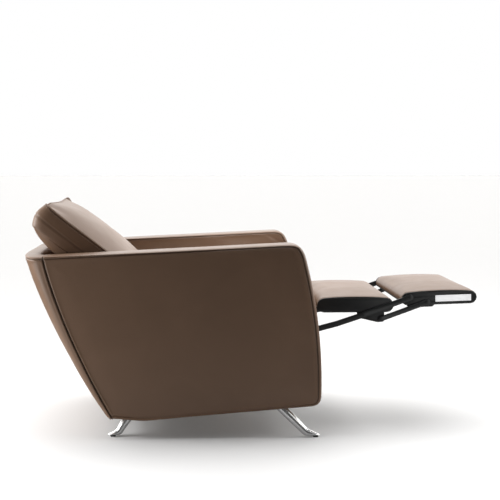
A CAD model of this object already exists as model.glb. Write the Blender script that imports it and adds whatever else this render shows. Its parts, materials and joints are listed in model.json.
"""Looks of the recliner armchair: upholstery, metalwork, floor, light and camera, built
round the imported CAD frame. Metres, +Z up, +X towards the feet, the sitter's right at -Y.
"""
import json
import math

import bmesh
import bpy
import numpy as np
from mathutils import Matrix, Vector, geometry, noise
from mathutils.bvhtree import BVHTree
from mathutils.kdtree import KDTree


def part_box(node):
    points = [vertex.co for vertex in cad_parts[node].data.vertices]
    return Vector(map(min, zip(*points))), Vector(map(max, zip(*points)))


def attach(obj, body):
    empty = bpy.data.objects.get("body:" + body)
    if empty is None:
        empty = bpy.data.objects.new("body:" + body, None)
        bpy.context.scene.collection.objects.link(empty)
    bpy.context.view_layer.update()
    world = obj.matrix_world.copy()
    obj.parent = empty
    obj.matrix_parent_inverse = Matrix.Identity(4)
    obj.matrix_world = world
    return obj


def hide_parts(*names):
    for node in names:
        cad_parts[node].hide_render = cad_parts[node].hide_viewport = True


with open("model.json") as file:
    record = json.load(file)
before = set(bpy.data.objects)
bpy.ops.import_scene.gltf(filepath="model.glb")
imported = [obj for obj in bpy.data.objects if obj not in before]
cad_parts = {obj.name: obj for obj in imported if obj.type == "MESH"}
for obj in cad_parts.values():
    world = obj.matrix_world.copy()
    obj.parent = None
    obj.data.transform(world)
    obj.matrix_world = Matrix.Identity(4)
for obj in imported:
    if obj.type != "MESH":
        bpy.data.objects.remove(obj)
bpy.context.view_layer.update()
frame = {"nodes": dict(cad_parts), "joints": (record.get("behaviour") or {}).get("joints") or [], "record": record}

JOINTS = {joint["name"]: joint for joint in frame["joints"]}
SIDES = (("right", -1.0), ("left", 1.0))
MM = 0.001

# ---- camera, light and floor ----
CAMERA_PLACE = (-0.201, -3.95, 0.8695)
CAMERA_YAW = math.radians(2.968)        # to the right of +Y
CAMERA_PITCH = math.radians(-4.460)
CAMERA_LENS = 83.07

SKY_POWER = 2.0
SKY_SPREAD = math.radians(60.0)
SKY_TILT = (math.radians(-14.0), math.radians(-2.0), 0.0)
AREA_LIGHTS = (                         # name, place, aim, size in metres, watts
    ("rear_softbox", (-2.5, -0.35, 0.9), (-0.65, -0.1, 0.3), (1.3, 1.4), 50.0),
    ("front_softbox", (2.5, 0.3, 1.6), (0.5, 0.0, 0.1), (1.5, 1.2), 42.0),
    ("rear_reflector", (-1.25, -0.80, 0.32), (-0.62, -0.4, 0.36), (0.4, 0.5), 3.0),
    ("front_reflector", (0.75, -0.75, 0.45), (0.2, -0.4, 0.42), (0.3, 0.5), 0.8),
    ("seat_fill", (0.0, -0.05, 0.85), (0.0, 0.35, 0.52), (0.45, 0.12), 1.8))
STUDIO_DEPTH = (-0.32, 0.40)            # Y of a direction less some of its Z, front to back
STUDIO_OVERHEAD = -0.42                 # that share of Z
STUDIO_POWER = (0.05, 2.1)
STUDIO_COLOUR = (1.0, 0.985, 0.965, 1.0)
FLOOR_SHADES = (0.725, 0.735)           # as the camera sees it
FLOOR_REACH = (0.9, 2.0)                # metres from the chair's middle
FLOOR_BOUNCE = (0.42, 0.04)             # colour that it bounces light with, near and far
FLOOR_HALF = 60.0


def make_camera():
    data = bpy.data.cameras.new("camera")
    data.lens = CAMERA_LENS
    data.sensor_width = 36.0
    camera = bpy.data.objects.new("camera", data)
    camera.location = CAMERA_PLACE
    camera.rotation_euler = (math.radians(90.0) + CAMERA_PITCH, 0.0, -CAMERA_YAW)
    bpy.context.scene.collection.objects.link(camera)
    bpy.context.scene.camera = camera


def area_light(name, place, target, size, watts):
    data = bpy.data.lights.new(name, "AREA")
    data.shape = "RECTANGLE"
    data.size, data.size_y = size
    data.energy = watts
    light = bpy.data.objects.new(name, data)
    light.location = place
    aim = Vector(target) - Vector(place)
    light.rotation_euler = aim.to_track_quat("-Z", "Y").to_euler()
    light.visible_camera = False
    bpy.context.scene.collection.objects.link(light)


def eased(nodes, value_span, result_span):
    """Node that takes a value's span to another span, slowly at both ends."""
    node = nodes.new("ShaderNodeMapRange")
    node.interpolation_type = "SMOOTHSTEP"
    node.inputs["From Min"].default_value, node.inputs["From Max"].default_value = value_span
    node.inputs["To Min"].default_value, node.inputs["To Max"].default_value = result_span
    return node


def lit_or_seen(tree, lit, seen, output):
    """Staging only: one shader lights the chair, and the camera sees another."""
    path = tree.nodes.new("ShaderNodeLightPath")
    mix = tree.nodes.new("ShaderNodeMixShader")
    tree.links.new(path.outputs["Is Camera Ray"], mix.inputs["Fac"])
    tree.links.new(lit, mix.inputs[1])
    tree.links.new(seen, mix.inputs[2])
    tree.links.new(mix.outputs["Shader"], tree.nodes[output].inputs["Surface"])


def make_light():
    """Overhead light, softboxes and reflectors, and a studio bright behind, dark in front."""
    sky = bpy.data.lights.new("overhead_sky", "SUN")
    sky.energy = SKY_POWER
    sky.angle = SKY_SPREAD
    light = bpy.data.objects.new("overhead_sky", sky)
    light.rotation_euler = SKY_TILT
    bpy.context.scene.collection.objects.link(light)
    for settings in AREA_LIGHTS:
        area_light(*settings)
    world = bpy.data.worlds.new("studio")
    world.use_nodes = True
    nodes = world.node_tree.nodes
    links = world.node_tree.links
    place = nodes.new("ShaderNodeTexCoord")
    axes = nodes.new("ShaderNodeSeparateXYZ")
    links.new(place.outputs["Generated"], axes.inputs["Vector"])
    depth = eased(nodes, STUDIO_DEPTH, STUDIO_POWER)
    overhead = nodes.new("ShaderNodeMath")
    overhead.operation = "MULTIPLY_ADD"
    links.new(axes.outputs["Z"], overhead.inputs[0])
    overhead.inputs[1].default_value = STUDIO_OVERHEAD
    links.new(axes.outputs["Y"], overhead.inputs[2])
    links.new(overhead.outputs["Value"], depth.inputs["Value"])
    lit = nodes["Background"]
    lit.inputs["Color"].default_value = STUDIO_COLOUR
    links.new(depth.outputs["Result"], lit.inputs["Strength"])
    seen = nodes.new("ShaderNodeBackground")
    seen.inputs["Color"].default_value = (1.0, 1.0, 1.0, 1.0)
    lit_or_seen(world.node_tree, lit.outputs["Background"], seen.outputs["Background"],
                "World Output")
    bpy.context.scene.world = world
    bpy.context.scene.view_settings.view_transform = "Standard"


# ---- materials ----
class Look:
    """A node material being put together round one Principled shader."""

    def __init__(self, name, roughness, metallic=0.0, specular=0.5):
        self.material = bpy.data.materials.new(name)
        self.material.use_nodes = True
        self.nodes = self.material.node_tree.nodes
        self.links = self.material.node_tree.links
        self.shader = self.nodes["Principled BSDF"]
        self.shader.inputs["Metallic"].default_value = metallic
        self.shader.inputs["Roughness"].default_value = roughness
        self.shader.inputs["Specular IOR Level"].default_value = specular
        self.place = self.nodes.new("ShaderNodeTexCoord").outputs["Object"]
        self.height = None

    def stretched(self, scale):
        """Object coordinates scaled per axis."""
        mapping = self.nodes.new("ShaderNodeMapping")
        mapping.inputs["Scale"].default_value = scale
        self.links.new(self.place, mapping.inputs["Vector"])
        return mapping.outputs["Vector"]

    def noise(self, scale, detail=2.0, distortion=0.0, place=None):
        texture = self.nodes.new("ShaderNodeTexNoise")
        texture.inputs["Scale"].default_value = scale
        texture.inputs["Detail"].default_value = detail
        texture.inputs["Distortion"].default_value = distortion
        self.links.new(place or self.place, texture.inputs["Vector"])
        return texture.outputs["Fac"]

    def cells(self, scale, feature="F1"):
        texture = self.nodes.new("ShaderNodeTexVoronoi")
        texture.feature = feature
        texture.inputs["Scale"].default_value = scale
        self.links.new(self.place, texture.inputs["Vector"])
        return texture.outputs["Distance"]

    def wave(self, scale, place=None, direction="X", distortion=0.0, rings=False):
        texture = self.nodes.new("ShaderNodeTexWave")
        texture.wave_type = "RINGS" if rings else "BANDS"
        if not rings:
            texture.bands_direction = direction
        texture.inputs["Scale"].default_value = scale
        texture.inputs["Distortion"].default_value = distortion
        self.links.new(place or self.place, texture.inputs["Vector"])
        return texture.outputs["Fac"]

    def ramp(self, value, stops):
        """Colours by value: stops are two (place, colour) pairs."""
        ramp = self.nodes.new("ShaderNodeValToRGB")
        for index, (place, colour) in enumerate(stops):
            ramp.color_ramp.elements[index].position = place
            ramp.color_ramp.elements[index].color = (*colour, 1.0)
        self.links.new(value, ramp.inputs["Fac"])
        return ramp.outputs["Color"]

    def span(self, value, low, high):
        """Value mapped from 0..1 to low..high."""
        node = self.nodes.new("ShaderNodeMapRange")
        node.inputs["To Min"].default_value = low
        node.inputs["To Max"].default_value = high
        self.links.new(value, node.inputs["Value"])
        return node.outputs["Result"]

    def product(self, first, second):
        node = self.nodes.new("ShaderNodeMath")
        node.operation = "MULTIPLY"
        self.links.new(first, node.inputs[0])
        self.links.new(second, node.inputs[1])
        return node.outputs["Value"]

    def darkened(self, colour, attribute, depth):
        """Colour multiplied down where a vertex attribute is high."""
        read = self.nodes.new("ShaderNodeAttribute")
        read.attribute_name = attribute
        shade = self.span(read.outputs["Fac"], 1.0, 1.0 - depth)
        mix = self.nodes.new("ShaderNodeMix")
        mix.data_type = "RGBA"
        mix.blend_type = "MULTIPLY"
        mix.inputs["Factor"].default_value = 1.0
        self.links.new(colour, mix.inputs["A"])
        self.links.new(shade, mix.inputs["B"])
        return mix.outputs["Result"]

    def bump(self, height, strength, distance):
        """Adds a layer of relief to the shader's normal."""
        node = self.nodes.new("ShaderNodeBump")
        node.inputs["Strength"].default_value = strength
        node.inputs["Distance"].default_value = distance
        self.links.new(height, node.inputs["Height"])
        if self.height is not None:
            self.links.new(self.height, node.inputs["Normal"])
        self.height = node.outputs["Normal"]
        self.links.new(self.height, self.shader.inputs["Normal"])

    def colour(self, socket):
        self.links.new(socket, self.shader.inputs["Base Color"])

    def roughness(self, value, low, high):
        self.links.new(self.span(value, low, high), self.shader.inputs["Roughness"])


def tinted(colour, factor):
    return tuple(min(channel * factor, 1.0) for channel in colour)


def leather(name, colour):
    """Smooth aniline leather: soft mottling, pebbled grain, faint creases, dark seams."""
    look = Look(name, 0.44, specular=0.44)
    mottle = look.noise(6.0, 4.0, 0.6)
    tone = look.ramp(mottle, [(0.28, tinted(colour, 0.95)), (0.72, tinted(colour, 1.05))])
    look.colour(look.darkened(tone, "seam", 0.62))
    look.roughness(look.noise(22.0, 3.0), 0.38, 0.50)
    look.bump(look.noise(34.0, 4.0, 0.8), 0.16, 0.0016)
    look.bump(look.cells(330.0, "SMOOTH_F1"), 0.20, 0.0005)
    look.bump(look.noise(900.0, 2.0), 0.12, 0.0002)
    return look.material


def beech():
    look = Look("beech", 0.55, specular=0.35)
    rings = look.wave(9.0, look.stretched((0.5, 1.0, 6.0)), distortion=5.0, rings=True)
    look.colour(look.ramp(rings, [(0.1, (0.47, 0.31, 0.17)), (0.9, (0.60, 0.43, 0.26))]))
    pores = look.noise(240.0, 2.0, place=look.stretched((0.08, 1.0, 1.0)))
    look.roughness(pores, 0.48, 0.64)
    look.bump(pores, 0.25, 0.0005)
    return look.material


def webbing():
    look = Look("webbing", 0.85, specular=0.2)
    weave = look.product(look.wave(95.0, direction="X"), look.wave(95.0, direction="Y"))
    look.colour(look.ramp(weave, [(0.0, (0.020, 0.019, 0.018)), (1.0, (0.085, 0.078, 0.07))]))
    look.bump(weave, 0.7, 0.0008)
    return look.material


def painted_steel():
    look = Look("black_steel", 0.42, specular=0.5)
    look.colour(look.ramp(
        look.noise(14.0, 3.0), [(0.3, (0.0115, 0.0125, 0.013)), (0.7, (0.018, 0.019, 0.020))]))
    look.roughness(look.noise(60.0, 3.0), 0.34, 0.50)
    look.bump(look.noise(1100.0, 2.0), 0.22, 0.00025)
    return look.material


def moulded_plastic(name, colour):
    look = Look(name, 0.45, specular=0.45)
    look.colour(look.ramp(
        look.noise(9.0, 2.0), [(0.3, tinted(colour, 0.85)), (0.7, tinted(colour, 1.15))]))
    look.roughness(look.noise(45.0, 3.0), 0.38, 0.54)
    look.bump(look.cells(1400.0), 0.25, 0.0002)
    return look.material


def printed_label():
    look = Look("label_white", 0.5, specular=0.4)
    paper = look.ramp(look.noise(60.0, 2.0), [(0.3, (0.80, 0.80, 0.81)), (0.7, (0.88, 0.88, 0.89))])
    look.colour(paper)
    look.links.new(paper, look.shader.inputs["Emission Color"])
    look.shader.inputs["Emission Strength"].default_value = 0.55
    look.bump(look.noise(700.0, 2.0), 0.1, 0.0001)
    return look.material


def polished_aluminium():
    look = Look("polished_aluminium", 0.24, metallic=0.9)
    look.colour(look.ramp(
        look.noise(18.0, 3.0), [(0.2, (0.80, 0.80, 0.805)), (0.8, (0.89, 0.89, 0.885))]))
    polish = look.noise(420.0, 3.0, place=look.stretched((0.06, 1.0, 0.06)))
    look.roughness(polish, 0.20, 0.30)
    look.bump(polish, 0.02, 0.0001)
    return look.material


LEATHER_COLOUR = (0.180, 0.107, 0.067)
PADS_COLOUR = (0.146, 0.080, 0.044)     # the same leather, set darker to match the photo
LOOKS = {
    "leather_body": leather("leather_body", LEATHER_COLOUR),
    "leather_shell": leather("leather_shell", LEATHER_COLOUR),
    "leather_seat": leather("leather_seat", LEATHER_COLOUR),
    "leather_pads": leather("leather_pads", PADS_COLOUR),
    "beech": beech(),
    "webbing": webbing(),
    "polished_aluminium": polished_aluminium(),
    "glide_plastic": moulded_plastic("glide_plastic", (0.05, 0.05, 0.05)),
    "black_plastic": moulded_plastic("black_plastic", (0.0125, 0.013, 0.0135)),
    "label_white": printed_label(),
    "black_steel": painted_steel(),
}
THREAD = moulded_plastic("thread", (0.30, 0.215, 0.16))


def make_floor():
    """Plain pale floor to the horizon; it bounces less light than it shows."""
    look = Look("floor", 0.75, specular=0.12)
    look.colour(look.ramp(
        look.noise(1.5, 2.0), [(place, (FLOOR_SHADES[place],) * 3) for place in (0, 1)]))
    bounce = look.nodes.new("ShaderNodeBsdfDiffuse")
    distance = look.nodes.new("ShaderNodeVectorMath")
    distance.operation = "LENGTH"
    look.links.new(look.place, distance.inputs[0])
    reach = eased(look.nodes, FLOOR_REACH, FLOOR_BOUNCE)
    look.links.new(distance.outputs["Value"], reach.inputs["Value"])
    look.links.new(reach.outputs["Result"], bounce.inputs["Color"])
    lit_or_seen(look.material.node_tree, bounce.outputs["BSDF"], look.shader.outputs["BSDF"],
                "Material Output")
    corners = ((-1, -1), (1, -1), (1, 1), (-1, 1))
    points = [(x * FLOOR_HALF, y * FLOOR_HALF, 0.0) for x, y in corners]
    mesh_object("floor", points, [(0, 1, 2, 3)], look.material)


# ---- mesh helpers ----
def mesh_object(name, points, faces, material):
    mesh = bpy.data.meshes.new(name)
    mesh.from_pydata([tuple(point) for point in points], [], faces)
    mesh.materials.append(material)
    made = bpy.data.objects.new(name, mesh)
    bpy.context.scene.collection.objects.link(made)
    return made


def faced_out(target, sharp_deg=60.0):
    """Normals outwards, smooth shading except at sharp edges."""
    shape = bmesh.new()
    shape.from_mesh(target.data)
    bmesh.ops.recalc_face_normals(shape, faces=shape.faces)
    shape.to_mesh(target.data)
    shape.free()
    target.data.shade_smooth()
    target.data.set_sharp_from_angle(angle=math.radians(sharp_deg))
    return target


def baked(target):
    """Applies the object's modifiers to its mesh."""
    bpy.context.view_layer.update()
    graph = bpy.context.evaluated_depsgraph_get()
    old = target.data
    target.data = bpy.data.meshes.new_from_object(target.evaluated_get(graph))
    target.modifiers.clear()
    bpy.data.meshes.remove(old)
    return target


def placed(target, body, slot, *nodes):
    """Says which body a piece rides on, its finish and the CAD nodes it stands for."""
    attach(target, body)
    if nodes:
        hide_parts(*nodes)
    return target


def coords(target):
    points = np.zeros(len(target.data.vertices) * 3)
    target.data.vertices.foreach_get("co", points)
    return points.reshape(-1, 3)


def set_coords(target, points):
    target.data.vertices.foreach_set("co", np.asarray(points, float).ravel())
    target.data.update()


def normals(target):
    values = np.zeros(len(target.data.vertices) * 3)
    target.data.vertices.foreach_get("normal", values)
    return values.reshape(-1, 3)


def set_seam(target, values):
    """Stores how deep in a seam each vertex lies, which the leather shades."""
    attribute = target.data.attributes.new("seam", "FLOAT", "POINT")
    attribute.data.foreach_set("value", np.clip(values, 0.0, 1.0).astype(np.float32))


def grid_faces(first, rows, columns):
    faces = []
    for row in range(rows - 1):
        for column in range(columns - 1):
            a = first + row * columns + column
            faces.append((a, a + 1, a + columns + 1, a + columns))
    return faces


def ring_faces(one, two):
    count = len(one)
    return [
        (one[i], one[(i + 1) % count], two[(i + 1) % count], two[i]) for i in range(count)]


def chain_faces(first, sides, rings, loop=False):
    """Faces along a chain of rings of points, with flat ends unless it closes on itself."""
    faces = []
    for index in range(rings if loop else rings - 1):
        one = [first + index * sides + k for k in range(sides)]
        two = [first + (index + 1) % rings * sides + k for k in range(sides)]
        faces += ring_faces(one, two)
    if not loop:
        last = first + (rings - 1) * sides
        faces.append(tuple(range(first, first + sides))[::-1])
        faces.append(tuple(range(last, last + sides)))
    return faces


def edge_loop(rows, columns):
    """Indices round the edge of a grid: up its first column, along its last row, and back."""
    loop = [row * columns for row in range(rows)]
    loop += [(rows - 1) * columns + column for column in range(1, columns)]
    loop += [row * columns + columns - 1 for row in range(rows - 2, -1, -1)]
    loop += [column for column in range(columns - 2, 0, -1)]
    return loop


def boxed(name, front, back, rings, material):
    """Closed shape: front and back grids of points, joined round their edges by rings."""
    rows, columns = front.shape[:2]
    count = rows * columns
    loop = edge_loop(rows, columns)
    points = [front.reshape(-1, 3), back.reshape(-1, 3)] + [np.asarray(ring) for ring in rings]
    faces = grid_faces(0, rows, columns)
    faces += [face[::-1] for face in grid_faces(count, rows, columns)]
    lines = [loop]
    for index in range(len(rings)):
        start = 2 * count + index * len(loop)
        lines.append(list(range(start, start + len(loop))))
    lines.append([count + index for index in loop])
    for one, two in zip(lines, lines[1:]):
        faces += [face[::-1] for face in ring_faces(one, two)]
    return mesh_object(name, np.vstack(points), faces, material), lines


def coons(low, high, left, right):
    """Grid of points between four edges: rows run from low to high along left and right."""
    along_u = edge_share(low)[:, None, None] * 0.5 + edge_share(high)[:, None, None] * 0.5
    along_v = edge_share(left)[None, :, None] * 0.5 + edge_share(right)[None, :, None] * 0.5
    ruled_v = (1 - along_v) * low[:, None, :] + along_v * high[:, None, :]
    ruled_u = (1 - along_u) * left[None, :, :] + along_u * right[None, :, :]
    corners = (
        (1 - along_u) * (1 - along_v) * low[0] + along_u * (1 - along_v) * low[-1]
        + (1 - along_u) * along_v * high[0] + along_u * along_v * high[-1])
    return ruled_v + ruled_u - corners


def edge_share(line):
    """Share of a polyline's length at each of its points."""
    steps = np.linalg.norm(np.diff(line, axis=0), axis=1)
    run = np.concatenate([[0.0], np.cumsum(steps)])
    return run / run[-1]


def resampled(line, shares):
    run = edge_share(line)
    return np.stack([np.interp(shares, run, line[:, axis]) for axis in range(line.shape[1])], -1)


def length_of(line):
    return float(np.linalg.norm(np.diff(line, axis=0), axis=1).sum())


NEAR_SEAM = np.array([0.0, 0.7, 1.5, 2.4, 3.5, 5.0, 7.0, 10.0, 14.0]) * MM


def spread(length, step):
    """Shares of a length, close together at both ends and a step apart between."""
    near, end = NEAR_SEAM[:-1], NEAR_SEAM[-1]
    middle = np.linspace(end, length - end, max(int((length - 2 * end) / step), 2))
    return np.concatenate([near, middle, (length - near)[::-1]]) / length


def softened(line, sigma):
    """Open polyline with its small corners rounded; the ends stay."""
    length = length_of(line)
    count = int(length / (2.0 * MM)) + 1
    even = resampled(line, np.linspace(0.0, 1.0, count))
    reach = int(3.0 * sigma / (length / (count - 1)))
    before = 2.0 * even[0] - even[reach:0:-1]
    after = 2.0 * even[-1] - even[-2:-reach - 2:-1]
    padded = np.vstack([before, even, after])
    offsets = np.arange(-reach, reach + 1) * length / (count - 1)
    weights = np.exp(-0.5 * (offsets / sigma) ** 2)
    weights /= weights.sum()
    return np.stack([np.convolve(padded[:, axis], weights, "valid") for axis in (0, 1)], -1)


def distances_to(points, others):
    """Distance of each point to the closest of the others."""
    tree = KDTree(len(others))
    for index, point in enumerate(others):
        tree.insert(point, index)
    tree.balance()
    return np.array([tree.find(point)[2] for point in points])


def smooth_step(value):
    value = np.clip(value, 0.0, 1.0)
    return value * value * (3.0 - 2.0 * value)


def seam_relief(distance, groove, lip):
    """Height of leather beside a seam: a narrow groove, then a lip where it is doubled."""
    return (lip * np.exp(-((distance - 5.0 * MM) / (3.0 * MM)) ** 2)
            - groove * np.exp(-(distance / (2.0 * MM)) ** 2))


def field(points, scale, seed):
    """Smooth noise, about -1 to 1, at points; scale is per axis, in waves per metre."""
    shift = Vector((seed * 7.31, seed * 3.17, seed * 5.03))
    return np.array([
        noise.noise(Vector((p[0] * scale[0], p[1] * scale[1], p[2] * scale[2])) + shift)
        for p in points])


# ---- arms ----
ROLL = 14.0 * MM                     # how far in from the side the top starts to roll
ROLL_ANGLES = np.radians([87.5, 84.5, 79.0, 72.0, 64.0, 54.0, 42.0, 28.0, 14.0, 0.0])
ROLL_ENDS = 4.0 * MM                 # the same at both ends of the rear edge
ROLL_POWER = 2.0 / 2.2               # rounder than a circle's quarter
RIM_ARCH = 0.14                      # share of the seam's depth that the rim's middle stands out by
ARM_CELL = 6.5 * MM
SEAM_BOTTOM, SEAM_FRONT, SEAM_TOP, SEAM_REAR = 9.0 * MM, 13.0 * MM, 7.2 * MM, 1.6 * MM
SEAM_BLEND = 31                      # points over which one depth passes into the next
GROOVE = 2.4 * MM
LIP = 1.0 * MM
FAN_HEIGHT, WAVE_HEIGHT, RIPPLE_HEIGHT = 1.5 * MM, 0.5 * MM, 0.8 * MM
CREASE_HEIGHT, TUCK_DEPTH, RIDGE_HEIGHT, PUFF_HEIGHT = 2.8 * MM, 4.2 * MM, 1.8 * MM, 4.5 * MM


def arm_hull():
    """Side outline of the arm, read from its CAD solid, as one loop of (x, z)."""
    flat = [Vector((v.co.x, v.co.z)) for v in frame["nodes"]["arm_cover_right"].data.vertices]
    return np.array([flat[i] for i in geometry.convex_hull_2d(flat)])


def arm_edges():
    """The arm's four edges as (x, z) lines: bottom, front, top and rear."""
    hull = arm_hull()
    rear_low = int(np.argmax(-hull[:, 0] - 1.5 * hull[:, 1]))
    loop = np.roll(hull, -rear_low, axis=0)
    if loop[len(loop) // 8][0] < loop[0][0]:
        loop = np.roll(loop[::-1], 1, axis=0)
    rear_high = int(np.argmin(loop[:, 0]))
    outer = softened(loop[:rear_high + 1], 6.0 * MM)
    rear = softened(np.vstack([loop[rear_high:], loop[:1]])[::-1], 20.0 * MM)
    low = int(np.argmax(outer[:, 0] - outer[:, 1]))
    high = int(np.argmax(outer[:, 0] + outer[:, 1]))
    return outer[:low + 1], outer[low:high + 1], outer[high:], rear


ARM_BOTTOM, ARM_FRONT, ARM_TOP, ARM_REAR = arm_edges()
REAR_SHIFT = 7.0 * MM                # leather drawn back over the joint at the top
ARM_REAR[:, 0] -= REAR_SHIFT * np.clip((ARM_REAR[:, 1] - 0.25) / 0.25, 0.0, 1.0)
ARM_TOP[-1, 0] = ARM_REAR[-1, 0]


def rear_x(z):
    """X of the arm's rear edge at a height, which the back shell follows."""
    slope = (ARM_REAR[5] - ARM_REAR[0]) / (ARM_REAR[5, 1] - ARM_REAR[0, 1])
    z = np.asarray(z, float)
    below = ARM_REAR[0, 0] + (z - ARM_REAR[0, 1]) * slope[0]
    return np.where(z < ARM_REAR[0, 1], below, np.interp(z, ARM_REAR[:, 1], ARM_REAR[:, 0]))


def inset_steps(loop, depth):
    """For each corner of a closed loop, the move that insets its two edges by their depths."""
    ahead = np.roll(loop, -1, axis=0) - loop
    ahead /= np.linalg.norm(ahead, axis=1, keepdims=True)
    inward = np.stack([-ahead[:, 1], ahead[:, 0]], -1)
    before, depth_before = np.roll(inward, 1, axis=0), np.roll(depth, 1)
    steps = np.zeros_like(loop)
    for index in range(len(loop)):
        a, b = before[index], inward[index]
        if abs(a[0] * b[1] - a[1] * b[0]) > 0.2:
            steps[index] = np.linalg.solve(np.array([a, b]), [depth_before[index], depth[index]])
        else:
            middle = (a + b) / np.linalg.norm(a + b)
            steps[index] = middle * (depth_before[index] + depth[index]) / 2.0
    return steps


def make_arm(side, sign):
    """One arm: a panel on each side, and rolls and a rim between their seams."""
    inner_y, outer_y = sorted(abs(corner.y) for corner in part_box("arm_cover_" + side))
    half = (outer_y - inner_y) / 2.0
    middle_y = (outer_y + inner_y) / 2.0
    along = spread(length_of(ARM_TOP), ARM_CELL)
    up = spread(length_of(ARM_REAR), ARM_CELL)
    bottom, top = resampled(ARM_BOTTOM, along), resampled(ARM_TOP[::-1], along)
    front, rear = resampled(ARM_FRONT, up), resampled(ARM_REAR, up)
    loop = np.vstack([bottom, front[1:], top[-2::-1], rear[-2:0:-1]])
    counts = [len(bottom) - 1, len(front) - 1, len(top) - 1, len(rear) - 1]
    depth = np.repeat([SEAM_BOTTOM, SEAM_FRONT, SEAM_TOP, SEAM_REAR], counts)
    joint = counts[0] + counts[1] + counts[2]
    blend = np.ones(SEAM_BLEND) / SEAM_BLEND
    depth[:joint] = np.convolve(np.pad(depth[:joint], SEAM_BLEND // 2, "edge"), blend, "valid")
    steps = inset_steps(loop, depth)
    to_low = np.linalg.norm(loop - rear[0], axis=1)
    roll = ROLL_ENDS + (ROLL - ROLL_ENDS) * smooth_step(to_low / 0.03)
    to_high = np.linalg.norm(loop[joint:] - rear[-1], axis=1)
    roll[joint:] = ROLL - (ROLL - ROLL_ENDS) * smooth_step(to_high / 0.025)

    seam = loop + steps
    edges = np.split(seam, np.cumsum(counts)[:3])
    low, right, high, left = (
        np.vstack([edges[index], edges[(index + 1) % 4][:1]]) for index in range(4))
    plan = coons(low, high[::-1], left[::-1], right)

    rings = []
    distances = []
    for facing in (1.0, -1.0):
        levels = ROLL_ANGLES if facing > 0 else ROLL_ANGLES[::-1]
        block = []
        for angle in levels:
            share = 1.0 - math.cos(angle) ** ROLL_POWER
            y = half - roll + roll * math.sin(angle) ** ROLL_POWER
            point = loop + steps * (share * (1.0 - RIM_ARCH) + RIM_ARCH * (y / half)[:, None] ** 2)
            gap = np.linalg.norm(steps, axis=1) * (1.0 - share)
            y = y + seam_relief(gap, GROOVE, 0.0)
            block.append(np.stack([point[:, 0], middle_y + facing * y, point[:, 1]], -1))
            distances.append(gap)
        if facing > 0:
            rings += block
            for share in np.linspace(1.0, -1.0, 9)[1:-1]:
                y = (half - roll) * share
                point = loop + steps * RIM_ARCH * (y / half)[:, None] ** 2
                rings.append(np.stack([point[:, 0], middle_y + y, point[:, 1]], -1))
                distances.append(np.full(len(loop), 1.0))
        else:
            rings += block
    flat = plan.reshape(-1, 2)
    gap = distances_to(np.pad(flat, ((0, 0), (0, 1))), np.pad(seam, ((0, 0), (0, 1))))
    outer = half + seam_relief(gap, GROOVE, LIP) + 1.5 * MM * smooth_step(gap / 0.06)
    outer = outer + panel_folds(flat, gap, sign)
    inner = half + seam_relief(gap, GROOVE, 0.0) + inner_folds(flat, gap, sign)
    shape = plan.shape[:2]
    front_grid = np.stack([flat[:, 0], middle_y + outer, flat[:, 1]], -1).reshape(*shape, 3)
    back_grid = np.stack([flat[:, 0], middle_y - inner, flat[:, 1]], -1).reshape(*shape, 3)
    made, _ = boxed("arm_" + side, front_grid, back_grid, rings, LOOKS["leather_body"])
    points = coords(made)
    points[:, 1] *= sign
    set_coords(made, points)
    seam_gap = np.concatenate([gap, gap] + distances)
    shown = 0.1 + 0.9 * smooth_step((points[:, 2] - bottom[:, 1].max() - 0.004) / 0.03)
    set_seam(made, shown * np.exp(-(seam_gap / (1.9 * MM)) ** 2))
    faced_out(made, 50.0)
    placed(made, "chair_body", "leather_body", "arm_cover_" + side)


def panel_folds(flat, gap, sign):
    """Fine gathers that fan out from the top front corner, and slow waves elsewhere."""
    corner = ARM_FRONT[-1]
    away = flat - corner
    distance = np.linalg.norm(away, axis=1)
    angle = np.arctan2(away[:, 1], away[:, 0])
    fan = np.sin(angle * 26.0 + 2.0 * np.sin(distance * 60.0)) * np.exp(-distance / 0.045)
    spaced = np.stack([flat[:, 0], np.full(len(flat), sign), flat[:, 1]], -1)
    slow = field(spaced, (5.0, 1.0, 4.0), 3) * WAVE_HEIGHT
    ripples = field(spaced, (16.0, 1.0, 38.0), 5) * RIPPLE_HEIGHT
    near_top = np.exp(-np.abs(flat[:, 1] - corner[1]) / 0.09)
    near_front = np.exp(-np.abs(flat[:, 0] - corner[0]) / 0.06)
    folds = fan * FAN_HEIGHT + slow + ripples * np.maximum(0.5 * near_top, near_front)
    return smooth_step(gap / 0.012) * folds


def inner_folds(flat, gap, sign):
    """Softer leather on the inside of an arm: long creases and a tuck at the front."""
    corner = ARM_FRONT[-1]
    spaced = np.stack([flat[:, 0], np.full(len(flat), 4.0 + sign), flat[:, 1]], -1)
    above = smooth_step((flat[:, 1] - 0.45) / 0.03)
    creases = field(spaced, (9.0, 1.0, 22.0), 11) * CREASE_HEIGHT
    distance = np.linalg.norm(flat - corner, axis=1)
    across = (flat[:, 0] - corner[0] + 0.030) * 0.5 + (flat[:, 1] - corner[1] + 0.020) * 0.85
    tuck = -TUCK_DEPTH * np.exp(-(across / (4.0 * MM)) ** 2) * np.exp(-(distance / 0.045) ** 2)
    ridge = RIDGE_HEIGHT * np.exp(-((across + 8.0 * MM) / (4.5 * MM)) ** 2)
    ridge = ridge * np.exp(-(distance / 0.055) ** 2)
    waves = -1.0 * MM + creases + tuck + ridge
    puff = PUFF_HEIGHT * above * smooth_step(gap / 0.07)
    return smooth_step(gap / 0.010) * (above * waves - (1.0 - above) * 0.6 * MM) + puff


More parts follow.
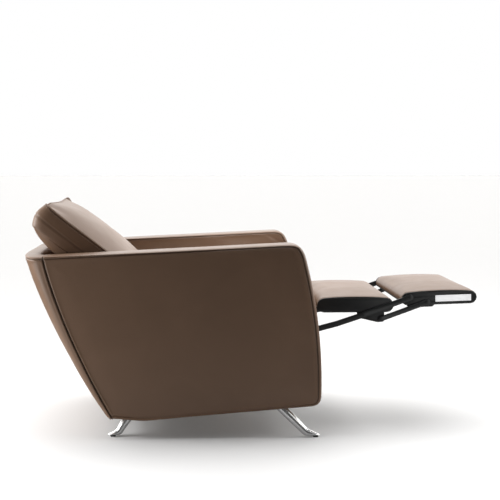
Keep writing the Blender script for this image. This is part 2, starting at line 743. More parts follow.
# ---- back shell ----
SHELL_BULGE = (26.0 * MM, 76.0 * MM)        # depth behind the rear edge, bottom and top
SHELL_WALL = (24.0 * MM, 40.0 * MM)
SHELL_POWER = 2.0 / 3.3
SHELL_LENGTH = 1.02                         # round its outside, about
SHELL_CORNER_PAD = 58.0 * MM                # how far padding narrows the space inside, at the top
SHELL_TOP_PAD = 14.0 * MM                   # how far it thickens the wall behind the cushion
SHELL_ROLL_OUT, SHELL_ROLL_IN = 13.0 * MM, 10.0 * MM
SHELL_RIM, SHELL_TURN = 8.0 * MM, 7.0 * MM  # heights of the rolls at the top and the bottom
SHELL_HEM = 9.0 * MM                        # how far it stops above the CAD shell's lower edge
SHELL_GAP = 0.8 * MM                        # from the arms, inside the joint's groove


def shell_curve(z, half_width, bulge, shares):
    """One level of the shell, from the left arm round to the right, evenly along its length."""
    angle = np.linspace(0.0, math.pi, 1201)
    c, s = np.cos(angle), np.sin(angle)
    y = half_width * np.sign(c) * np.abs(c) ** SHELL_POWER
    x = float(rear_x(z)) - SHELL_GAP - bulge * np.abs(s) ** SHELL_POWER
    return resampled(np.stack([x, y], -1), shares)


def make_shell():
    """Wrap round the back: hem, outside, roll, rim and inside, as rows up and over it."""
    low, high = (corner.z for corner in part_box("back_shell"))
    low += SHELL_HEM
    half_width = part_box("back_shell")[1].y
    shares = spread(SHELL_LENGTH, 9.0 * MM)

    def level(z, inner):
        t = min(max((z - low) / (high - low), 0.0), 1.0)
        bulge = SHELL_BULGE[0] + (SHELL_BULGE[1] - SHELL_BULGE[0]) * t ** 0.75
        wall = SHELL_WALL[0] + (SHELL_WALL[1] - SHELL_WALL[0]) * t
        if inner:
            reach = half_width - SHELL_WALL[1] - SHELL_CORNER_PAD * t ** 3
            return shell_curve(z, reach, bulge - wall - SHELL_TOP_PAD * t ** 3, shares)
        return shell_curve(z, half_width, bulge, shares)

    def wall_at(z):
        """Outside and inside curve at a height, and the directions from one to the other."""
        outside, inside = level(z, False), level(z, True)
        across = inside - outside
        return outside, inside, across / np.linalg.norm(across, axis=1, keepdims=True)

    rows = []
    gaps = []

    def add(plan, z, gap, push=0.0):
        """One more row, with its distance from the seams, and pushed outwards."""
        ahead = np.gradient(plan, axis=0)
        ahead /= np.linalg.norm(ahead, axis=1, keepdims=True)
        outward = np.stack([-ahead[:, 1], ahead[:, 0]], -1)
        outward *= np.where((outward[len(outward) // 2] @ [1.0, 0.0]) > 0, -1.0, 1.0)
        moved = plan + outward * np.asarray(push)[..., None]
        rows.append(np.column_stack([moved, np.full(len(plan), z)]))
        gaps.append(np.full(len(plan), gap) if np.isscalar(gap) else gap)

    run = shares * SHELL_LENGTH
    to_joint = np.minimum(run, run[-1] - run)
    outside, inside, inward = wall_at(low)
    for angle in np.radians([0.0, 30.0, 60.0]):
        plan = outside + inward * SHELL_TURN * (1.0 - math.sin(angle))
        add(plan, low + SHELL_TURN * (1.0 - math.cos(angle)), 1.0)
    wall_height = high - SHELL_RIM - low - SHELL_TURN
    for share in spread(wall_height, 8.0 * MM)[:-1]:
        z = low + SHELL_TURN + share * wall_height
        gap = np.minimum(to_joint, high - SHELL_RIM - z)
        spaced = np.column_stack([level(z, False), np.full(len(shares), z)])
        slow = field(spaced[::4], (5.0, 5.0, 5.0), 21) * 1.0 * MM
        slow = np.interp(shares, shares[::4], slow)
        push = seam_relief(gap, 0.7 * GROOVE, 1.2 * MM) + smooth_step(gap / 0.02) * slow
        add(level(z, False), z, gap, push)
    for angle in np.radians([90.0, 87.0, 82.0, 74.0, 63.0, 50.0, 35.0, 18.0, 0.0]):
        share = math.cos(angle) ** ROLL_POWER
        z = high - SHELL_RIM + SHELL_RIM * share
        outside, inside, inward = wall_at(z)
        plan = outside + inward * SHELL_ROLL_OUT * (1.0 - math.sin(angle) ** ROLL_POWER)
        add(plan, z, SHELL_RIM * share, seam_relief(SHELL_RIM * share, GROOVE, 0.0))
    outside, inside, inward = wall_at(high)
    one, two = outside + inward * SHELL_ROLL_OUT, inside - inward * SHELL_ROLL_IN
    for share in (0.3, 0.6):
        add(one + (two - one) * share, high, 1.0)
    for angle in np.radians([0.0, 20.0, 40.0, 60.0, 78.0, 90.0]):
        z = high - SHELL_ROLL_IN * (1.0 - math.cos(angle))
        outside, inside, inward = wall_at(z)
        add(inside - inward * SHELL_ROLL_IN * (1.0 - math.sin(angle)), z, 1.0)
    for z in np.linspace(high - 0.02, low, 24):
        add(level(z, True), z, to_joint)
    grid = np.stack(rows)
    count, columns = grid.shape[:2]
    faces = grid_faces(0, count, columns)
    last = (count - 1) * columns
    for column in range(columns - 1):
        faces.append((last + column, last + column + 1, column + 1, column))
    faces.append(tuple(row * columns for row in range(count)))
    faces.append(tuple(row * columns + columns - 1 for row in range(count))[::-1])
    made = mesh_object("back_wrap", grid.reshape(-1, 3), faces, LOOKS["leather_shell"])
    set_seam(made, 0.8 * np.exp(-(np.concatenate(gaps) / (1.6 * MM)) ** 2))
    faced_out(made, 50.0)
    placed(made, "chair_body", "leather_shell", "back_shell")


# ---- cushions ----
def rounded_plan(half_u, half_v, radius, pull):
    """Quarter points of a rounded rectangle whose sides pull in: low, right, high, left."""
    arc = np.radians(np.linspace(0.0, 90.0, 13))
    corner = np.stack([np.cos(arc), np.sin(arc)], -1) * radius
    outline = []
    for turn in range(4):
        c, s = round(math.cos(turn * math.pi / 2)), round(math.sin(turn * math.pi / 2))
        spun = corner @ np.array([[c, s], [-s, c]])
        centre = np.array([
            (half_u - radius) * (1 if turn in (0, 3) else -1),
            (half_v - radius) * (1 if turn in (0, 1) else -1)])
        outline.append(spun + centre)
    edges = []
    for turn, across in ((3, 1), (0, 0), (1, 1), (2, 0)):
        one, two = outline[(turn + 3) % 4], outline[turn]
        line = np.vstack([one[len(one) // 2:], two[:len(two) // 2 + 1]])
        line = resampled(line, np.linspace(0.0, 1.0, 160))
        half = half_u if across else half_v
        share = np.clip(line[:, 1 - across] / half, -1.0, 1.0)
        line[:, across] -= np.sign(line[len(line) // 2, across]) * pull * (1.0 - share ** 2) ** 2
        edges.append(line)
    low, right, high, left = edges
    return low, right, high[::-1], left[::-1]


CLOTH_STIFFNESS = 14.0


def simulate(target, pinned, pressure, cap, frames=20):
    """Inflates a closed cover as cloth, with the pinned vertices held, and keeps the result."""
    group = target.vertex_groups.new(name="held")
    group.add([int(index) for index in np.nonzero(pinned)[0]], 1.0, "REPLACE")
    start = coords(target)
    modifier = target.modifiers.new("cloth", "CLOTH")
    settings = modifier.settings
    settings.quality = 6
    settings.mass = 0.35
    settings.tension_stiffness = CLOTH_STIFFNESS
    settings.compression_stiffness = CLOTH_STIFFNESS
    settings.shear_stiffness = 5.0
    settings.bending_stiffness = 0.8
    settings.use_pressure = True
    settings.uniform_pressure_force = pressure
    settings.vertex_group_mass = "held"
    settings.effector_weights.gravity = 0.0
    modifier.collision_settings.use_collision = False
    modifier.point_cache.frame_start = 1
    modifier.point_cache.frame_end = frames
    scene = bpy.context.scene
    for number in range(1, frames + 1):
        scene.frame_set(number)
    graph = bpy.context.evaluated_depsgraph_get()
    result = coords(target.evaluated_get(graph))
    move = result - start
    size = np.linalg.norm(move, axis=1, keepdims=True)
    target.modifiers.clear()
    set_coords(target, start + move * np.minimum(1.0, cap / np.maximum(size, 1e-9)))
    target.vertex_groups.clear()
    scene.frame_set(1)


def subdivided(target):
    modifier = target.modifiers.new("smooth", "SUBSURF")
    modifier.levels = 1
    modifier.render_levels = 1
    return baked(target)


def gap_to(points, line):
    """Distance of each point to a line."""
    return distances_to(points, resampled(line, np.linspace(0.0, 1.0, len(line) * 4)))


def sew(target, front_seam, back_seam):
    """Presses a deep front seam and a fainter back seam into a cushion, and marks them."""
    points = coords(target)
    front, back = gap_to(points, front_seam), gap_to(points, back_seam)
    relief = seam_relief(front, 2.6 * MM, 1.2 * MM) + seam_relief(back, 1.2 * MM, 0.5 * MM)
    creases = field(points, (11.0, 5.0, 11.0), 31) + 0.5 * field(points, (26.0, 9.0, 26.0), 37)
    relief += creases * 1.3 * MM * smooth_step(np.minimum(front, back) / 0.03)
    set_coords(target, points + normals(target) * relief[:, None])
    set_seam(target, np.exp(-(front / (2.4 * MM)) ** 2) + 0.45 * np.exp(-(back / (2.0 * MM)) ** 2))


def closed(line):
    return np.vstack([line, line[:1]])


TUBE_SIDES = 8


def tube(name, path, radius, material, loop=True):
    """Piping along a path, as a mesh."""
    points = np.asarray(path)
    if loop:
        ahead = np.roll(points, -1, axis=0) - np.roll(points, 1, axis=0)
    else:
        ahead = np.gradient(points, axis=0)
    ahead /= np.linalg.norm(ahead, axis=1, keepdims=True)
    side = np.cross(ahead[0], (0.0, 0.0, 1.0))
    if np.linalg.norm(side) < 0.1:
        side = np.cross(ahead[0], (0.0, 1.0, 0.0))
    rings = []
    for point, direction in zip(points, ahead):
        side = side - direction * (side @ direction)
        side = side / np.linalg.norm(side)
        other = np.cross(direction, side)
        turn = np.linspace(0.0, 2.0 * math.pi, TUBE_SIDES, endpoint=False)
        rings.append(point + radius * (
            np.cos(turn)[:, None] * side + np.sin(turn)[:, None] * other))
    faces = chain_faces(0, TUBE_SIDES, len(points), loop)
    return faced_out(mesh_object(name, np.vstack(rings), faces, material), 80.0)


STITCH_PITCH = 6.0 * MM
STITCH_LENGTH = 4.0 * MM
STITCH_RADIUS = 0.45 * MM
STITCH_RINGS = (                        # share of the length, lift and size in radii
    (-0.5, -0.2, 0.6), (-0.25, 0.9, 1.0), (0.25, 0.9, 1.0), (0.5, -0.2, 0.6))
STITCH_SIDES = 6


def stitches(name, target, path):
    """A row of thread stitches lying on a piece along a closed path."""
    tree = BVHTree.FromPolygons(
        [v.co for v in target.data.vertices], [p.vertices for p in target.data.polygons])
    path = closed(path)
    count = int(length_of(path) / STITCH_PITCH)
    centres = resampled(path, (np.arange(count) + 0.5) / count)
    ends = resampled(path, (np.arange(count) + 0.52) / count)
    points = []
    faces = []
    for centre, end in zip(centres, ends):
        place, normal, _, _ = tree.find_nearest(Vector(centre))
        along = (Vector(end) - Vector(centre)).normalized()
        across = normal.cross(along).normalized()
        first = len(points)
        for share, lift, size in STITCH_RINGS:
            spot = place + along * (share * STITCH_LENGTH) + normal * (STITCH_RADIUS * lift)
            for k in range(STITCH_SIDES):
                angle = k * math.pi / 3.0
                reach = STITCH_RADIUS * size
                points.append(tuple(
                    spot + across * (reach * math.cos(angle)) + normal * (reach * math.sin(angle))))
        faces += chain_faces(first, STITCH_SIDES, len(STITCH_RINGS))
    return faced_out(mesh_object(name, points, faces, THREAD), 80.0)


CROWN_POWER = 3.6                       # how square a crowned front is
GUSSET_BOW = 0.8                        # share of a full bow where the side has its own seam


def box_cushion(name, half_u, half_v, heights, crown, place, look, cell=8.0 * MM,
                radius=0.022, pull=4.0 * MM, bulge=4.0 * MM, swell=24.0 * MM, pressure=4.0,
                square_end=CROWN_POWER, side_seam=None):
    """Boxed cushion: crowned front, gusset and flat back, inflated as cloth, then sewn.

    heights are those of its back and front seams; place maps (u, v, h) to the chair."""
    low, right, high, left = rounded_plan(half_u, half_v, radius, pull)
    count_u = int(2 * half_u / cell)
    count_v = int(2 * half_v / cell)
    even_u, even_v = np.linspace(0.0, 1.0, count_u), np.linspace(0.0, 1.0, count_v)
    low, high = resampled(low, even_u), resampled(high, even_u)
    right, left = resampled(right, even_v), resampled(left, even_v)
    plan = coons(low, high, left, right)
    a, b = plan[..., 0] / half_u, plan[..., 1] / half_v
    dome = 1.0 - np.abs(a) ** np.where(a > 0.0, square_end, CROWN_POWER)
    dome = dome * (1.0 - np.abs(b) ** CROWN_POWER)
    dome = np.clip(dome, 0.0, 1.0)
    start = crown - ((swell * 0.25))
    front = np.dstack([plan, heights[1] + start * dome])
    bow = 1.0 if side_seam is None else GUSSET_BOW
    flare = 0.0 if side_seam is None else bulge * math.sin(bow * math.pi)
    wider = plan * np.array([1.0 + flare / half_u, 1.0 + flare / half_v])
    back = np.dstack([wider, np.full(plan.shape[:2], heights[0])])
    rows, columns = plan.shape[:2]
    loop = plan.reshape(-1, 2)[edge_loop(rows, columns)]
    outward = -inset_steps(loop, np.ones(len(loop)))
    outward /= np.linalg.norm(outward, axis=1, keepdims=True)
    steps = max(int((heights[1] - heights[0]) / cell), 3)
    rings = []
    for step in range(1, steps):
        share = step / steps
        spot = loop + outward * bulge * math.sin(math.pi * share * bow)
        rings.append(np.column_stack([
            spot, np.full(len(loop), heights[1] + (heights[0] - heights[1]) * share)]))
    made, lines = boxed(name, front, back, rings, LOOKS[look])
    set_coords(made, place(coords(made)))
    faced_out(made, 80.0)
    pinned = np.zeros(len(made.data.vertices), bool)
    pinned[rows * columns:2 * rows * columns] = True
    pinned[lines[0]] = True
    simulate(made, pinned, pressure, swell)
    finished = coords(made)
    front_seam = closed(finished[lines[0]])
    back_seam = closed(finished[lines[-1 if side_seam is None else round(steps * side_seam)]])
    inner_row = closed(finished[lines[1]])
    subdivided(made)
    sew(made, front_seam, back_seam)
    faced_out(made, 70.0)
    return made, front_seam, inner_row


def offset_line(line, towards, distance):
    """A line moved a distance towards another one, point by point."""
    step = towards - line
    step /= np.maximum(np.linalg.norm(step, axis=1, keepdims=True), 1e-9)
    return line + step * distance


WELT_RADIUS = 2.2 * MM
STITCH_INSET = 8.0 * MM


def welted(name, target, seam, row, body, slot):
    """Piping along a cushion's front seam, and a row of stitches on each side of it."""
    piping = tube(name + "_piping", seam[:-1], WELT_RADIUS, LOOKS[slot])
    placed(piping, body, slot)
    inward = np.tile(seam.mean(axis=0), (len(seam), 1))
    for face, towards in (("gusset", row), ("front", inward)):
        path = offset_line(seam, towards, STITCH_INSET)[:-1]
        thread = stitches(name + "_stitching_" + face, target, path)
        placed(thread, body, slot)


# ---- back rest ----
BACK_SLOPE = math.radians(38.0)
BACK_HALF_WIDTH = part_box("back_cushion")[1].y
BACK_START, BACK_LENGTH = 0.036, 0.448       # from the hinge, up the back
BACK_SEAMS = (-25.0 * MM, 53.0 * MM)         # out of the back's middle plane
BACK_CROWN = 45.0 * MM
COVER_ALONG = (0.034, 0.438)                 # leather behind the cushion, from the hinge
COVER_OUT = (-58.0 * MM, -21.0 * MM)
COVER_LAP = 2.2 * MM                         # wider than the cushion on each side
COVER_WALL = 6.0 * MM


def back_place(points):
    """From (along, y, out) of the back rest to the chair's own axes."""
    hinge = JOINTS["back_recline"]["pos_m"]
    along, y, out = points[:, 0], points[:, 1], points[:, 2]
    x = hinge[0] - along * math.cos(BACK_SLOPE) + out * math.sin(BACK_SLOPE)
    z = hinge[2] + along * math.sin(BACK_SLOPE) + out * math.cos(BACK_SLOPE)
    return np.column_stack([x, y, z])


# How the upper end of the back cushion is drawn out of its box, front seam and corners.
END_REACH = 5.0 * MM
END_LIFT = 11.0 * MM
END_SAG = 13.0 * MM                          # between the corners
REAR_TUCK = 7.0 * MM
END_BELLY = 22.0 * MM
CORNER_PINCH = 10.0 * MM
FAR_CORNER_BACK, FAR_CORNER_LIFT = 13.0 * MM, 12.0 * MM
NEAR_CORNER_DROP = 5.0 * MM


def make_back_cushion():
    middle = (BACK_START + BACK_LENGTH) / 2.0
    half = (BACK_LENGTH - BACK_START) / 2.0

    def place(points):
        moved = points.copy()
        up, across, out = moved[:, 0] / half, moved[:, 1] / BACK_HALF_WIDTH, moved[:, 2]
        front = np.clip((out - BACK_SEAMS[0]) / (BACK_SEAMS[1] - BACK_SEAMS[0]), 0.0, 1.0)
        top = np.clip(up, 0.0, 1.0)
        full = top ** 5 * front
        ear = top ** 8 * np.abs(across) ** 10
        pinch = np.exp(-((np.abs(across) - 0.84) / 0.07) ** 2) * top ** 3 * front
        near_end = np.clip((up - 0.76) / 0.24, 0.0, 1.0)
        moved[:, 0] += middle + END_REACH * (full + ear) - REAR_TUCK * near_end * (1.0 - front) ** 2
        far = np.clip(across, 0.0, 1.0) ** 3 * top ** 6 * front
        near = np.clip(-across, 0.0, 1.0) ** 3 * top ** 6 * front
        moved[:, 0] += END_BELLY * top ** 6 * front * (1.0 - front) - FAR_CORNER_BACK * far
        moved[:, 0] -= END_SAG * top ** 4 * np.clip(1.0 - across ** 2, 0.0, 1.0)
        moved[:, 2] += (END_LIFT * full - CORNER_PINCH * pinch
                        + FAR_CORNER_LIFT * far - NEAR_CORNER_DROP * near)
        return back_place(moved)

    made, seam, row = box_cushion(
        "back_cushion_leather", half, BACK_HALF_WIDTH - 3.0 * MM, BACK_SEAMS, BACK_CROWN, place,
        "leather_seat", radius=0.030, bulge=8.0 * MM, square_end=4.6, side_seam=0.52)
    placed(made, "back_rest", "leather_seat", "back_cushion")
    welted("back_cushion", made, seam, row, "back_rest", "leather_seat")


def make_back_cover():
    """Leather shell behind the cushion: rounded rear edges and a rounded upper end."""
    low, high = COVER_ALONG
    rear, front = COVER_OUT
    half_width = BACK_HALF_WIDTH + COVER_LAP
    steps = np.concatenate([np.linspace(low, 0.34, 38), np.linspace(0.346, high, 18)])
    across = np.linspace(-1.0, 1.0, 61)
    level = np.ones(len(across))
    outer_rows = []
    inner_rows = []
    for along in steps:
        near_end = np.clip((along - 0.32) / (high - 0.32), 0.0, 1.0)
        depth = (front - rear) * max(1.0 - near_end ** 2.3, 0.0) ** (1.0 / 1.7) + 1.0 * MM
        profile = (1.0 - np.abs(across) ** 7) ** (1.0 / 2.4)
        out = front - depth * profile
        out = out - 3.0 * MM * (1.0 - across ** 2) * (1.0 - near_end)
        y = across * half_width
        outer_rows.append(np.column_stack([level * along, y, out]))
        inner = np.minimum(out + COVER_WALL, front)
        inner_y = y * (1.0 - COVER_WALL / half_width)
        inner_rows.append(np.column_stack([level * along, inner_y, inner]))
    outer, inner = (
        back_place(np.vstack(rows)).reshape(len(steps), len(across), 3)
        for rows in (outer_rows, inner_rows))
    made, _ = boxed("back_cover_leather", outer, inner, [], LOOKS["leather_seat"])
    faced_out(made, 50.0)
    subdivided(made)
    set_seam(made, np.zeros(len(made.data.vertices)))
    placed(made, "back_rest", "leather_seat", "back_cover")


# ---- seat ----
SEAT_CROWN = 34.0 * MM
BOLSTER_CROWN = 8.0 * MM


def along_x(middle):
    """Puts a cushion made round the origin at a middle's X."""
    return lambda points: points + np.array([middle.x, 0.0, 0.0])


def make_seat():
    low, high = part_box("seat_cushion")
    made, seam, row = box_cushion(
        "seat_cushion_leather", (high.x - low.x) / 2.0 - 2.0 * MM, high.y - 4.0 * MM,
        (low.z + 1.0 * MM, high.z - SEAT_CROWN), SEAT_CROWN, along_x((low + high) / 2.0),
        "leather_seat", radius=0.020, swell=22.0 * MM, bulge=2.0 * MM)
    placed(made, "seat_carriage", "leather_seat", "seat_cushion")
    welted("seat_cushion", made, seam, row, "seat_carriage", "leather_seat")

    low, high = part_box("seat_bolster")
    made, _, _ = box_cushion(
        "seat_bolster_leather", (high.x - low.x) / 2.0 - 1.0 * MM, high.y - 1.0 * MM,
        (low.z + 1.0 * MM, high.z - BOLSTER_CROWN), BOLSTER_CROWN, along_x((low + high) / 2.0),
        "leather_seat", cell=6.0 * MM, radius=0.010, pull=0.5 * MM, bulge=0.5 * MM,
        swell=3.0 * MM, pressure=2.0)
    placed(made, "seat_carriage", "leather_seat", "seat_bolster")


# ---- footrest ----
PAD_HALF_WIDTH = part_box("calf_cushion")[1].y
PAD_BOARD = 14.3 * MM                # underside of the leather above the pad's own underside
PAD_CROWN = 7.0 * MM                 # across the chair
PAD_ARCH = 5.5 * MM                  # along the pad
PAD_TUCK = 2.6 * MM                  # at the side edges
PAD_PIPING = 1.3 * MM
CALF_SPAN_Z = (0.3775, 0.4236)
FOOT_SPAN_X = (0.482, 0.729)
FOOT_SPAN_Z = (0.3990, 0.4405)
FOOT_TILT = math.radians(1.7)


def pad_profile(span_x, span_z):
    """Side view of a pad's leather: rounded ends and a nearly flat top, from end to end."""
    radius = (span_z[1] - span_z[0]) / 2.0
    middle = (span_z[0] + span_z[1]) / 2.0
    low = math.asin((span_z[0] + PAD_BOARD - middle) / radius)
    arc = np.linspace(low, math.pi / 2.0, 14)[:-1]
    right = np.column_stack([
        span_x[1] - radius + radius * np.cos(arc), middle + radius * np.sin(arc)])
    left = np.column_stack([
        span_x[0] + radius - radius * np.cos(arc), middle + radius * np.sin(arc)])[::-1]
    u = np.linspace(1.0, -1.0, 34)
    top_x = (span_x[0] + span_x[1]) / 2.0 + u * (span_x[1] - span_x[0] - 2 * radius) / 2.0
    top = np.column_stack([top_x, np.full(34, span_z[1])])
    return np.vstack([right, top, left])


def make_pad(name, span_x, span_z, tilt, pivot):
    """Leather of one footrest pad over its tray, and its two side edges."""
    profile = pad_profile(span_x, span_z)
    centre_x = (span_x[0] + span_x[1]) / 2.0
    half_x = (span_x[1] - span_x[0]) / 2.0
    run = resampled(profile, np.linspace(0.0, 1.0, 64))
    edge = np.array([0.0, 0.9, 2.0, 3.5, 5.5, 8.0, 12.0, 17.0]) * MM
    stations = np.concatenate([edge, np.linspace(0.024, PAD_HALF_WIDTH, 30)])
    y_values = np.concatenate([-PAD_HALF_WIDTH + stations[:-1], (PAD_HALF_WIDTH - stations)[::-1]])
    floor_z = span_z[0] + PAD_BOARD
    top_rows = []
    for y in y_values:
        to_edge = PAD_HALF_WIDTH - abs(y)
        tucked = PAD_TUCK * (1.0 - min(to_edge / 0.009, 1.0)) ** 2
        share = y / PAD_HALF_WIDTH
        dome = PAD_CROWN * (1.0 - share ** 4)
        rows = run.copy()
        lift = (rows[:, 1] - floor_z) / (span_z[1] - floor_z)
        from_middle = np.clip(np.abs(rows[:, 0] - centre_x) / half_x, 0.0, 1.0)
        body_x = 1.0 - from_middle ** 3
        arch = PAD_ARCH * (1.0 - from_middle ** 2.2)
        rows[:, 1] += lift * (dome * (0.25 + 0.75 * body_x) + arch - tucked)
        rows[:, 0] = centre_x + (rows[:, 0] - centre_x) * (1.0 - tucked / half_x)
        top_rows.append(np.column_stack([rows[:, 0], np.full(len(rows), y), rows[:, 1]]))
    top = np.stack(top_rows)
    base = top.copy()
    count, columns = top.shape[:2]
    share = np.linspace(0.0, 1.0, columns)
    base[..., 0] = top[:, :1, 0] + (top[:, -1:, 0] - top[:, :1, 0]) * share[None, :]
    base[..., 2] = floor_z
    points = np.vstack([top.reshape(-1, 3), base[:, 1:-1].reshape(-1, 3)])
    size = count * columns
    inner = columns - 2

    def below(row, column):
        if column in (0, columns - 1):
            return row * columns + column
        return size + row * inner + column - 1

    faces = grid_faces(0, count, columns)
    for row in range(count - 1):
        for column in range(columns - 1):
            faces.append((
                below(row, column), below(row + 1, column),
                below(row + 1, column + 1), below(row, column + 1)))
    for row in (0, count - 1):
        for column in range(columns - 1):
            loop = [row * columns + column, row * columns + column + 1]
            loop += [below(row, column + 1), below(row, column)]
            faces.append(tuple(dict.fromkeys(loop)))
    turn = np.array([[math.cos(tilt), math.sin(tilt)], [-math.sin(tilt), math.cos(tilt)]])
    points[:, [0, 2]] = (points[:, [0, 2]] - pivot) @ turn + pivot
    made = mesh_object(name, points, faces, LOOKS["leather_pads"])
    faced_out(made, 60.0)
    pinned = np.ones(len(made.data.vertices), bool)
    grid = np.arange(size).reshape(count, columns)
    pinned[grid[8:-8, 6:-6].ravel()] = False
    simulate(made, pinned, 1.2, 4.0 * MM, frames=12)
    rim = [coords(made)[grid[0]], coords(made)[grid[-1]]]
    points = coords(made)
    gap = np.minimum(np.abs(points[:, 1] - PAD_HALF_WIDTH), np.abs(points[:, 1] + PAD_HALF_WIDTH))
    set_seam(made, np.exp(-(gap / (2.2 * MM)) ** 2))
    faced_out(made, 60.0)
    return made, rim


def make_footrest():
    turn = JOINTS["foot_pad_pivot"]["pos_m"]
    low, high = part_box("calf_cushion")
    pivot = np.array([turn[0], turn[2]])
    for name, body, span_x, span_z, tilt in (
            ("calf", "calf_rest", (low.x, high.x), CALF_SPAN_Z, 0.0),
            ("foot", "foot_rest", FOOT_SPAN_X, FOOT_SPAN_Z, FOOT_TILT)):
        made, rims = make_pad(name + "_pad_leather", span_x, span_z, tilt, pivot)
        placed(made, body, "leather_pads", name + "_cushion")
        for side, rim in zip(("right", "left"), rims):
            piping = tube(
                name + "_piping_" + side, rim[::2], PAD_PIPING, LOOKS["black_plastic"], loop=False)
            placed(piping, body, "black_plastic")


# ---- legs ----
# Sections of the bar from its top to the toe: lower and upper (x, z), and half of its width.
FRONT_STATIONS = (
    ((0.0620, 0.0945), (0.0963, 0.0945), 0.0125), ((0.0850, 0.0722), (0.1186, 0.0730), 0.0125),
    ((0.1090, 0.0488), (0.1400, 0.0520), 0.0125), ((0.1300, 0.0285), (0.1555, 0.0365), 0.0126),
    ((0.1450, 0.0135), (0.1640, 0.0285), 0.0130), ((0.1550, 0.0055), (0.1715, 0.0230), 0.0135),
    ((0.1650, 0.0042), (0.1785, 0.0195), 0.0140), ((0.1760, 0.0042), (0.1860, 0.0160), 0.0136),
    ((0.1880, 0.0042), (0.1930, 0.0128), 0.0122), ((0.1970, 0.0044), (0.1990, 0.0098), 0.0090),
    ((0.2030, 0.0052), (0.2034, 0.0066), 0.0030))
REAR_STATIONS = (
    ((-0.3790, 0.0645), (-0.4087, 0.0645), 0.0125), ((-0.3925, 0.0465), (-0.4215, 0.0465), 0.0125),
    ((-0.4050, 0.0295), (-0.4290, 0.0345), 0.0125), ((-0.4130, 0.0180), (-0.4340, 0.0262), 0.0128),
    ((-0.4200, 0.0085), (-0.4385, 0.0208), 0.0132), ((-0.4290, 0.0045), (-0.4440, 0.0163), 0.0137),
    ((-0.4400, 0.0042), (-0.4500, 0.0130), 0.0138), ((-0.4500, 0.0046), (-0.4560, 0.0104), 0.0125),
    ((-0.4580, 0.0056), (-0.4605, 0.0084), 0.0090), ((-0.4630, 0.0066), (-0.4633, 0.0072), 0.0030))


LEGS = (                                # Y at the top and at the foot
    ("front", FRONT_STATIONS, 0.370, 0.385), ("rear", REAR_STATIONS, 0.335, 0.345))
LEG_SIDES = 28
LEG_SWELL = 0.16                        # how much deeper the bar is at the top
CURVE_STEPS = 5


def smooth_rows(values):
    """Catmull-Rom curve through rows of numbers."""
    values = np.asarray(values, float)
    padded = np.vstack([2 * values[0] - values[1], values, 2 * values[-1] - values[-2]])
    result = []
    for index in range(1, len(padded) - 2):
        a, b, c, d = padded[index - 1:index + 3]
        for t in np.linspace(0.0, 1.0, CURVE_STEPS, endpoint=False):
            result.append(0.5 * (
                2 * b + (c - a) * t + (2 * a - 5 * b + 4 * c - d) * t * t
                + (3 * b - a - 3 * c + d) * t ** 3))
    result.append(values[-1])
    return np.array(result)


def make_leg(place, stations, y_top, y_foot, side, sign):
    """Polished bar, bent at the heel and flattened to a toe."""
    rows = smooth_rows([(*low, *high, width) for low, high, width in stations])
    turn = np.linspace(0.0, 2.0 * math.pi, LEG_SIDES, endpoint=False)
    height = rows[0, 1] - rows[:, 1].min()
    points = []
    for x_low, z_low, x_high, z_high, width in rows:
        down = (rows[0, 1] - (z_low + z_high) / 2.0) / height
        y = y_top + (y_foot - y_top) * min(down, 1.0)
        centre = np.array([(x_low + x_high) / 2.0, (z_low + z_high) / 2.0])
        arm = np.array([(x_high - x_low) / 2.0, (z_high - z_low) / 2.0])
        spot = centre + np.cos(turn)[:, None] * arm * (1.0 + LEG_SWELL * (1.0 - down))
        points.append(np.column_stack([spot[:, 0], sign * (y + width * np.sin(turn)), spot[:, 1]]))
    faces = chain_faces(0, LEG_SIDES, len(rows))
    name = place + "_" + side
    made = mesh_object("leg_bar_" + name, np.vstack(points), faces, LOOKS["polished_aluminium"])
    faced_out(made, 60.0)
    placed(made, "chair_body", "polished_aluminium", "leg_" + name)


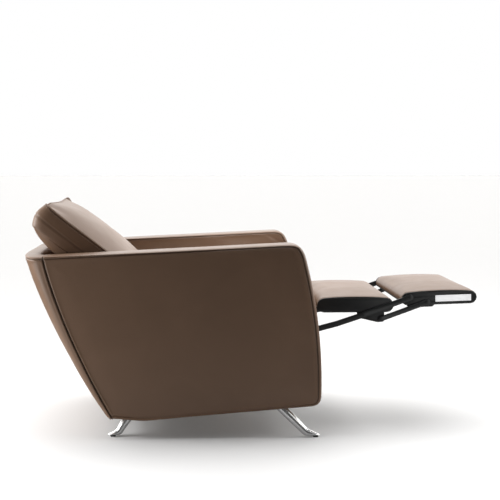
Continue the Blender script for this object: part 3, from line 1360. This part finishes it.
# ---- rigid CAD parts ----
SLOTS = {
    "beech": (
        "arm_frame_", "back_rail_", "base_rail_", "seat_beam_", "seat_rail_", "back_beam_",
        "back_crossbar_"),
    "webbing": ("seat_strap_",),
    "glide_plastic": ("glide_",),
    "black_plastic": ("slide_runner_", "calf_side_", "foot_side_", "calf_tray", "foot_tray"),
    "label_white": ("label_plate",),
    "black_steel": (
        "slide_rail_", "recline_guide_", "guide_plate_", "seat_hinge_plate_",
        "back_hinge_plate_", "recline_pin_", "long_link_", "short_link_", "link_shaft"),
}
EDGE_BREAK = {"beech": 2.0 * MM, "black_plastic": 0.7 * MM, "black_steel": 0.6 * MM,
              "label_white": 0.3 * MM}


def slot_of(node):
    for slot, starts in SLOTS.items():
        if node.startswith(starts):
            return slot
    return None


def make_rigid_parts():
    """Every rigid CAD part: its node material, and broken edges where it has an edge size."""
    bodies = {
        node: body
        for body, nodes in frame["record"]["behaviour"]["bodies"].items() for node in nodes}
    for node, source in frame["nodes"].items():
        slot = slot_of(node)
        if slot is None:
            continue
        source.data.materials.clear()
        source.data.materials.append(LOOKS[slot])
        if slot not in EDGE_BREAK:
            continue
        copy = bpy.data.objects.new(node + "_finished", source.data.copy())
        bpy.context.scene.collection.objects.link(copy)
        shape = bmesh.new()
        shape.from_mesh(copy.data)
        bmesh.ops.remove_doubles(shape, verts=shape.verts, dist=0.00002)
        bmesh.ops.dissolve_limit(
            shape, angle_limit=math.radians(0.5), verts=shape.verts, edges=shape.edges)
        shape.to_mesh(copy.data)
        shape.free()
        modifier = copy.modifiers.new("edges", "BEVEL")
        modifier.width = EDGE_BREAK[slot]
        modifier.segments = 2
        modifier.limit_method = "ANGLE"
        modifier.angle_limit = math.radians(40.0)
        modifier.use_clamp_overlap = True
        baked(copy)
        faced_out(copy, 35.0)
        placed(copy, bodies[node], slot, node)


make_camera()
make_light()
make_floor()
make_rigid_parts()
for side_name, side_sign in SIDES:
    make_arm(side_name, side_sign)
    for leg in LEGS:
        make_leg(*leg, side_name, side_sign)
make_shell()
make_back_cover()
make_back_cushion()
make_seat()
make_footrest()
